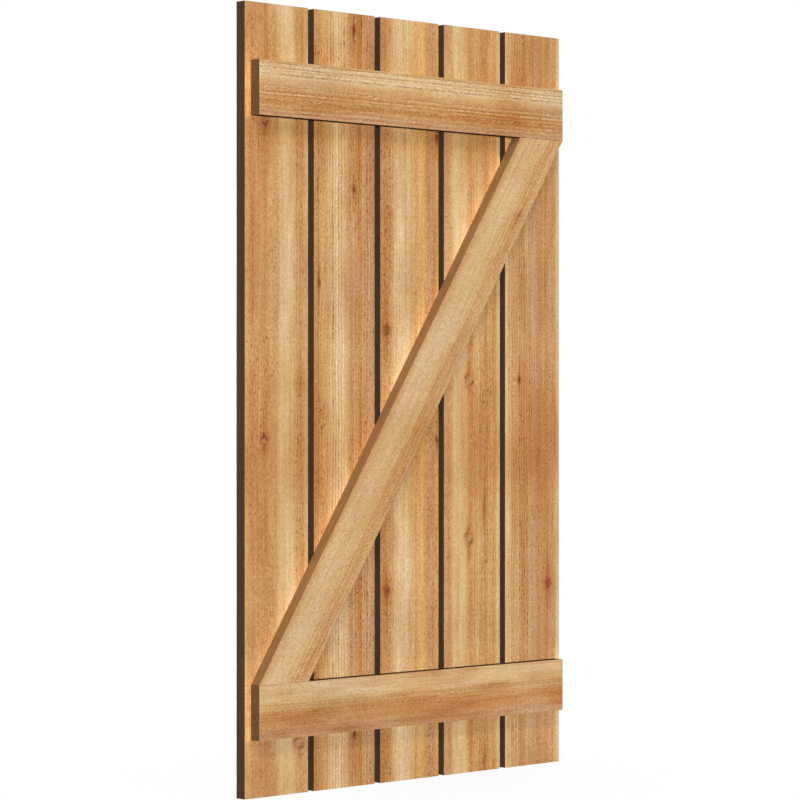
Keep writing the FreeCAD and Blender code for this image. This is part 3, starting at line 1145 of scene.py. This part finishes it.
for number, (node, stick) in enumerate(sticks.items()):
    seed = 11.0 + 7.3 * number
    if node in BOARDS:
        material = cedar(node, seed, (SIDE_OF_BOARD, SIDE_OF_BOARD), END_OF_BOARD)
    elif node == BRACE:
        material = cedar(node, seed, (SIDE_OF_BRACE, SIDE_OF_BRACE), SIDE_OF_BRACE)
    else:
        edges = (BOTTOM_INNER_EDGE, OUTER_EDGE)
        # the top batten's underside takes the painted shade
        if node == TOP_BATTEN:
            edges = (OUTER_EDGE, TOP_UNDERSIDE_SHADE)
        material = cedar(node, seed, edges, END_OF_BATTEN)
    stick.data.materials.append(material)
    print(material.name, "has", len(material.node_tree.nodes), "nodes")

# %% [markdown]
# No fastener shows on the front, so the battens and the brace are screwed on from behind. A screw head is a
# profile turned round its axis: a cone that sits in the wood, a rim a quarter millimetre proud of it, and a
# square socket in the middle. A deep socket would need a hole through the board's mesh, so it is shallow, and
# the mesh keeps how dark each ring is painted: a painted shade for the socket's missing depth, and a lighter
# one where the rim meets the wood. All heads are one mesh: every place is added to one head's points.

# %% Screws on the back
HEAD_RADIUS = 4.2 * MILLIMETRE
SOCKET_REACH = 1.7 * MILLIMETRE
HEAD_SIDES = 32
SOCKET_POWER = 8
# the third number of each ring is painted shade: dark in the shallow socket, lighter where the rim meets the
# wood
SOCKET_RINGS = ((0.55, -0.02, 1.0), (0.9, -0.03, 1.0), (1.0, -0.05, 0.7), (1.12, -0.24, 0.0))
RIM_RINGS = ((0.93, -0.26, 0.0), (1.0, -0.1, 0.3), (0.97, 0.3, 0.3), (0.45, 2.9, 0.3))
SCREW_ASIDE = 0.28
SCREW_RISE = 0.2
BRACE_SCREW_STEP = 20 * MILLIMETRE
BRACE_END_GAP = 75 * MILLIMETRE


def head_points():
    """Rings from the socket's floor out to the rim and down the cone, and how dark each point is painted as
    shade.

    A ring is a share of its outline's radius, a depth into the wood in millimetres and a darkness of painted
    shade.
    socket's outline is reach / (|cos|^p + |sin|^p)^(1/p), a square with soft corners.
    """
    angle = np.linspace(0, 2 * np.pi, HEAD_SIDES, endpoint=False)
    power = np.abs(np.cos(angle)) ** SOCKET_POWER + np.abs(np.sin(angle)) ** SOCKET_POWER
    square = SOCKET_REACH / power ** (1 / SOCKET_POWER)
    round_rim = np.full(HEAD_SIDES, HEAD_RADIUS)
    share, depth, shade = np.array(SOCKET_RINGS + RIM_RINGS).T
    outline = np.array([square] * len(SOCKET_RINGS) + [round_rim] * len(RIM_RINGS))
    radius = share[:, None] * outline
    outward = np.broadcast_to(-depth[:, None] * MILLIMETRE, radius.shape)
    rings = np.dstack([radius * np.cos(angle), outward, radius * np.sin(angle)]).reshape(-1, 3)
    poles = np.array([[0, outward[0, 0], 0], [0, outward[-1, 0], 0]])
    socket = np.concatenate([np.repeat(shade, HEAD_SIDES), shade[[0, -1]]])
    return np.concatenate([rings, poles]), socket, len(share)


def head_faces(ring_count):
    """Quads from ring to ring, and a fan of triangles to the pole at each end."""
    index = np.arange(ring_count * HEAD_SIDES).reshape(ring_count, HEAD_SIDES)
    following = np.roll(index, -1, axis=1)
    quads = np.stack([index[:-1], following[:-1], following[1:], index[1:]], axis=-1).reshape(-1, 4)
    inner = np.full(HEAD_SIDES, ring_count * HEAD_SIDES)
    first = np.stack([following[0], index[0], inner], axis=-1)
    last = np.stack([index[-1], following[-1], inner + 1], axis=-1)
    return quads, np.concatenate([first, last])


def screw_places():
    """Two heads for each board at each batten, set cornerwise, and two where the brace crosses it."""
    places = []
    for node in BOARDS:
        middle, size = middle_and_size(node)
        for level, batten in batten_boxes:
            for way in (-1, 1):
                aside = middle[0] + way * SCREW_ASIDE * size[0]
                places.append((aside, level[2] + way * SCREW_RISE * batten[2]))
        crossing = middle[0] * math.tan(brace_slope)
        limit = brace_box[2] / 2 - BRACE_END_GAP
        height = min(max(crossing, -limit), limit)
        for way in (-1, 1):
            spot = np.array([height / math.tan(brace_slope), height])
            spot = spot + way * BRACE_SCREW_STEP * np.array([math.cos(brace_slope), math.sin(brace_slope)])
            places.append(tuple(spot))
    return np.array(places)


places = screw_places()
one_head, socket, ring_count = head_points()
quads, triangles = head_faces(ring_count)
offsets = np.column_stack([places[:, 0], np.zeros(len(places)), places[:, 1]])
all_points = (offsets[:, None, :] + one_head[None]).reshape(-1, 3)
starts = len(one_head) * np.arange(len(places))[:, None, None]
all_faces = (starts + quads).reshape(-1, 4).tolist() + (starts + triangles).reshape(-1, 3).tolist()
screw_mesh = bpy.data.meshes.new("back_screws")
screw_mesh.from_pydata(all_points, [], all_faces)
keep(screw_mesh, "socket", "FLOAT", np.tile(socket, len(places)))
screw_mesh.validate()
screws = bpy.data.objects.new("back_screws", screw_mesh)
bpy.context.scene.collection.objects.link(screws)
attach(screws, "root")
print(len(places), "screw heads,", len(all_faces), "faces")

# %% [markdown]
# The heads are coated steel, dull and a little uneven. Noise moves the roughness and the colour slightly, so
# that no head is one flat grey, and the socket and the rim's edge carry the painted shade that the mesh
# keeps.

# %% Coated steel
STEEL_CELLS = (900.0, 900.0, 900.0)
STEEL_DULL = linear(128, 116, 96)
STEEL_BRIGHT = linear(164, 152, 130)
SOCKET_PAINTED_SHADE = linear(58, 50, 42)
steel = Finish("coated steel")
object_place = steel.node("TexCoord", {}, {}, output=3)
speckle = steel.noise(object_place, STEEL_CELLS, 5.0, detail=3.0)
coat = steel.blend(speckle.ease(0.35, 0.7), STEEL_DULL, STEEL_BRIGHT)
# painted shade in the socket and where the rim meets the wood
coat = steel.blend(steel.kept("socket"), coat, SOCKET_PAINTED_SHADE)
steel_bump = steel.node("Bump", {}, {"Strength": 0.2, "Distance": 0.2 * MILLIMETRE, "Height": speckle})
steel_shader = steel.node(
    "BsdfPrincipled",
    {},
    {"Base Color": coat, "Metallic": 1.0, "Roughness": 0.35 + 0.3 * speckle, "Normal": steel_bump},
)
steel.node("OutputMaterial", {}, {"Surface": steel_shader})
screws.data.materials.append(steel.material)
print(steel.material.name, "has", len(steel.tree.nodes), "nodes")

# %% [markdown]
# The stage is a pale floor under the boards' ends. To the camera it is as white as the photograph's
# background, with a little of its lit surface mixed in so that the shutter still throws a soft shadow on it.

# %% Floor
FLOOR_HALF = 15.0
floor_mesh = bpy.data.meshes.new("floor")
floor_corners = FLOOR_HALF * np.array([[-1, -1], [1, -1], [1, 1], [-1, 1]])
floor_points = np.column_stack([floor_corners, np.full(4, cad_low[2])])
floor_mesh.from_pydata(floor_points, [], [[0, 1, 2, 3]])
floor = bpy.data.objects.new("floor", floor_mesh)
bpy.context.scene.collection.objects.link(floor)


def seen_directly(finish):
    """1 for rays that show the background: straight from the camera, off gloss or through glass."""
    camera_ray = finish.node("LightPath", {}, {})
    return camera_ray.most(camera_ray.other("Is Glossy Ray")).most(camera_ray.other("Is Transmission Ray"))


SHADOW_SHARE = 0.05
SHADOW_REACH = 0.42
pale_floor = Finish("pale floor")
floor_place = pale_floor.node("TexCoord", {}, {}, output=3)
floor_right = pale_floor.node("SeparateXYZ", {}, {0: floor_place})
from_middle = (floor_right * floor_right + floor_right.other(1) * floor_right.other(1)) ** 0.5
near_shutter = (from_middle / SHADOW_REACH).bell()
lit = pale_floor.node("BsdfDiffuse", {}, {"Color": (0.85, 0.85, 0.85, 1.0)})
white = pale_floor.node("Emission", {}, {"Color": (1.0, 1.0, 1.0, 1.0), "Strength": 1.0})
whiteness = seen_directly(pale_floor) * (1 - SHADOW_SHARE * near_shutter)
shown = pale_floor.node("MixShader", {}, {0: whiteness, 1: lit, 2: white})
pale_floor.node("OutputMaterial", {}, {"Surface": shown})
floor.data.materials.append(pale_floor.material)
print("floor at height", round(cad_low[2], 4))

# %% [markdown]
# The light is a plain studio: an even white room, a large soft lamp at the front left near the camera, and a
# weaker one behind, so that the back of the shutter is lit as well. Together they light a white surface that
# faces forwards to about white, so a colour renders about as it is written.

# %% Light
ROOM_LEVEL = 0.2
LAMPS = {
    "key": (-42.0, 45.0, 14.0, 2.6, 600.0),
    "fill": (-44.0, 2.0, 24.0, 2.4, 3680.0),
    "back": (130.0, 25.0, 9.0, 4.0, 760.0),
}

world = bpy.data.worlds.new("room")
world.use_nodes = True
bpy.context.scene.world = world
room = Finish("room", world.node_tree)
ambient = room.node("Background", {}, {"Color": (1.0, 1.0, 1.0, 1.0), "Strength": ROOM_LEVEL})
backdrop = room.node("Background", {}, {"Color": (1.0, 1.0, 1.0, 1.0), "Strength": 1.0})
surround = room.node("MixShader", {}, {0: seen_directly(room), 1: ambient, 2: backdrop})
room.node("OutputWorld", {}, {"Surface": surround})

for name, (azimuth, elevation, distance, side, power) in LAMPS.items():
    lamp = bpy.data.objects.new(name, bpy.data.lights.new(name, "AREA"))
    lamp.data.size = side
    lamp.data.energy = power
    turn = math.radians(azimuth)
    rise = math.radians(elevation)
    level = distance * math.cos(rise)
    lamp.location = (level * math.sin(turn), -level * math.cos(turn), distance * math.sin(rise))
    lamp.rotation_euler = (math.radians(90) - rise, 0, turn)
    bpy.context.scene.collection.objects.link(lamp)
    print(name, "lamp at", [round(c, 2) for c in lamp.location], power, "W")

bpy.context.scene.view_settings.view_transform = "Standard"
